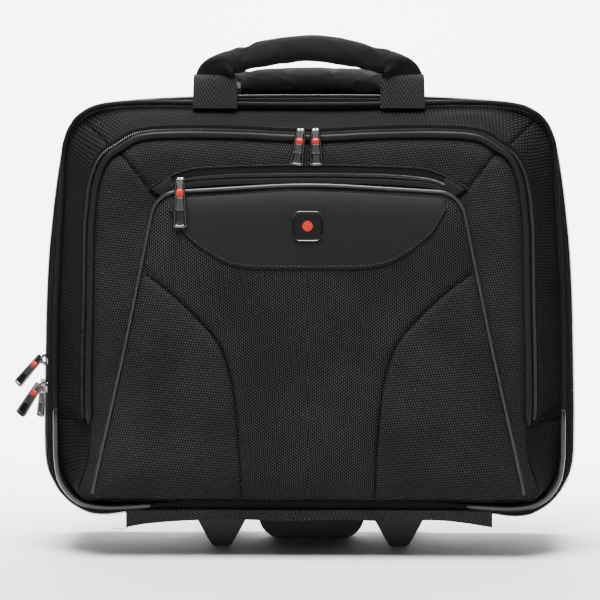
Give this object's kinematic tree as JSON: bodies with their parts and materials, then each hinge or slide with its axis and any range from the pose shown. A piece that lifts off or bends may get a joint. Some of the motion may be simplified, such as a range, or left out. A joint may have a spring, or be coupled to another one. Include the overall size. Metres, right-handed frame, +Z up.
{
  "type": "rolling laptop case",
  "caption": "Soft rolling laptop case with a telescoping trolley handle, wheels, carry handles, zipped sections and a flat front pocket.",
  "frame": {"origin": "middle of the centre foot's flat rest face, on the floor", "axes": "+X right as seen from the front, the front faces -Y, +Z up"},
  "size_m": [0.4912, 0.2124, 0.446],
  "materials": {
    "ballistic_nylon": "woven nylon, near-black",
    "webbing": "ribbed webbing",
    "fabric_piping": "covered cord piping",
    "lining": "plain lining",
    "stiffener_board": "stiffener sheet",
    "moulded_plastic": "fine-grained moulding",
    "satin_guard": "satin moulding",
    "gunmetal": "gunmetal plating",
    "anodised_aluminium": "anodised",
    "steel": "plain steel",
    "zip_coil": "nylon coil",
    "tyre": "solid tyre",
    "badge_enamel": "enamel on a metal plate"
  },
  "bodies": {
    "case": {"rear_shell": "ballistic_nylon", "back_board": "stiffener_board", "tube_cover": "stiffener_board", "wheel_base": "moulded_plastic", "centre_foot": "moulded_plastic", "front_foot_left": "moulded_plastic", "front_foot_right": "moulded_plastic", "wheel_housing_left": "moulded_plastic", "wheel_housing_right": "moulded_plastic", "axle_left": "steel", "axle_right": "steel", "rear_guard_left": "moulded_plastic", "rear_guard_right": "moulded_plastic", "lower_bracket": "moulded_plastic", "handle_bezel": "moulded_plastic", "outer_tube_left": "anodised_aluminium", "outer_tube_right": "anodised_aluminium", "laptop_zip": "zip_coil"},
    "wheel_left": {"wheel_left_tyre": "tyre", "wheel_left_hub": "moulded_plastic"},
    "wheel_right": {"wheel_right_tyre": "tyre", "wheel_right_hub": "moulded_plastic"},
    "trolley_lower": {"middle_tube_left": "anodised_aluminium", "middle_tube_right": "anodised_aluminium", "middle_collar": "moulded_plastic"},
    "trolley_upper": {"inner_tube_left": "anodised_aluminium", "inner_tube_right": "anodised_aluminium", "grip_base": "moulded_plastic", "grip_cover": "moulded_plastic"},
    "release": {"release_button": "moulded_plastic", "release_yoke": "steel"},
    "rear_handle": {"rear_strap": "webbing", "rear_grip": "webbing"},
    "laptop_section": {"laptop_shell": "ballistic_nylon", "laptop_strap": "webbing", "hinge_strip": "ballistic_nylon", "main_zip": "zip_coil"},
    "front_section": {"front_shell": "ballistic_nylon", "organiser_panel": "lining", "front_piping": "fabric_piping", "corner_guard_left": "satin_guard", "corner_guard_right": "satin_guard"},
    "front_handle": {"front_strap": "webbing", "front_grip": "webbing"},
    "lid": {"lid_panel": "ballistic_nylon", "pocket_panel": "ballistic_nylon", "trim_piping": "satin_guard", "badge": "badge_enamel"},
    "main_upper_slider": {"main_upper_slider": "gunmetal"},
    "main_upper_pull": {"main_upper_pull": "gunmetal"},
    "main_lower_slider": {"main_lower_slider": "gunmetal"},
    "main_lower_pull": {"main_lower_pull": "gunmetal"},
    "laptop_slider": {"laptop_slider": "gunmetal"},
    "laptop_pull": {"laptop_pull": "gunmetal"},
    "organiser_left_slider": {"organiser_left_slider": "gunmetal"},
    "organiser_left_pull": {"organiser_left_pull": "gunmetal"},
    "organiser_right_slider": {"organiser_right_slider": "gunmetal"},
    "organiser_right_pull": {"organiser_right_pull": "gunmetal"},
    "pocket_slider": {"pocket_slider": "gunmetal"},
    "pocket_pull": {"pocket_pull": "gunmetal"}
  },
  "joints": [
    {"name": "laptop_section_hinge", "type": "hinge", "parent": "case", "child": "laptop_section", "pos_m": [0, -0.0636, 0.033], "axis": [1, 0, 0], "range_deg": [0, 50]},
    {"name": "front_section_hinge", "type": "hinge", "parent": "laptop_section", "child": "front_section", "pos_m": [0, -0.105, 0.036], "axis": [1, 0, 0], "range_deg": [0, 70]},
    {"name": "lid_hinge", "type": "hinge", "parent": "front_section", "child": "lid", "pos_m": [0, -0.1373, 0.05], "axis": [1, 0, 0], "range_deg": [0, 70]},
    {"name": "front_handle_hinge", "type": "hinge", "parent": "front_section", "child": "front_handle", "pos_m": [0, -0.114, 0.392], "axis": [1, 0, 0], "range_deg": [-15, 78]},
    {"name": "rear_handle_hinge", "type": "hinge", "parent": "case", "child": "rear_handle", "pos_m": [0, -0.052, 0.396], "axis": [1, 0, 0], "range_deg": [0, 68]},
    {"name": "wheel_left_spin", "type": "hinge", "parent": "case", "child": "wheel_left", "pos_m": [-0.0775, 0.018, 0.03], "axis": [1, 0, 0], "continuous": true},
    {"name": "wheel_right_spin", "type": "hinge", "parent": "case", "child": "wheel_right", "pos_m": [0.0775, 0.018, 0.03], "axis": [1, 0, 0], "continuous": true},
    {"name": "trolley_lower_slide", "type": "slide", "parent": "case", "child": "trolley_lower", "axis": [0, 0, 1], "range_m": [0, 0.26]},
    {"name": "trolley_upper_slide", "type": "slide", "parent": "trolley_lower", "child": "trolley_upper", "axis": [0, 0, 1], "range_m": [0, 0.26]},
    {"name": "release_press", "type": "slide", "parent": "trolley_upper", "child": "release", "axis": [0, 0, -1], "range_m": [0, 0.0035], "stiffness_N_per_m": 400, "springref_m": -0.004},
    {"name": "main_upper_run", "type": "slide", "parent": "laptop_section", "child": "main_upper_slider", "axis": [0.0496, 0, 0.9988], "range_m": [0, 0.15]},
    {"name": "main_upper_swing", "type": "hinge", "parent": "main_upper_slider", "child": "main_upper_pull", "pos_m": [-0.23241, -0.1015, 0.16651], "axis": [0, 1, 0], "range_deg": [-12, 60]},
    {"name": "main_lower_run", "type": "slide", "parent": "laptop_section", "child": "main_lower_slider", "axis": [-0.0496, 0, -0.9988], "range_m": [0, 0.035]},
    {"name": "main_lower_swing", "type": "hinge", "parent": "main_lower_slider", "child": "main_lower_pull", "pos_m": [-0.2336, -0.1015, 0.14251], "axis": [0, 1, 0], "range_deg": [-44, 15]},
    {"name": "laptop_run", "type": "slide", "parent": "case", "child": "laptop_slider", "axis": [0.0496, 0, 0.9988], "range_m": [0, 0.15]},
    {"name": "laptop_swing", "type": "hinge", "parent": "laptop_slider", "child": "laptop_pull", "pos_m": [-0.2336, -0.06, 0.14251], "axis": [0, 1, 0], "range_deg": [0, 110]},
    {"name": "organiser_left_run", "type": "hinge", "parent": "lid", "child": "organiser_left_slider", "pos_m": [0, -0.1376, 1.252], "axis": [0, 1, 0], "range_deg": [0, 7.38]},
    {"name": "organiser_left_swing", "type": "hinge", "parent": "organiser_left_slider", "child": "organiser_left_pull", "pos_m": [-0.0063, -0.1478, 0.359], "axis": [-1, 0, 0], "range_deg": [0, 120]},
    {"name": "organiser_right_run", "type": "hinge", "parent": "lid", "child": "organiser_right_slider", "pos_m": [0, -0.1376, 1.252], "axis": [0, -1, 0], "range_deg": [0, 7.38]},
    {"name": "organiser_right_swing", "type": "hinge", "parent": "organiser_right_slider", "child": "organiser_right_pull", "pos_m": [0.0063, -0.1478, 0.359], "axis": [-1, 0, 0], "range_deg": [0, 120]},
    {"name": "pocket_run", "type": "hinge", "parent": "lid", "child": "pocket_slider", "pos_m": [0, -0.1466, -0.6763], "axis": [0, 1, 0], "range_deg": [0, 11.46]},
    {"name": "pocket_swing", "type": "hinge", "parent": "pocket_slider", "child": "pocket_pull", "pos_m": [-0.107, -0.1568, 0.318], "axis": [-1, 0, 0], "range_deg": [0, 120]}
  ]
}
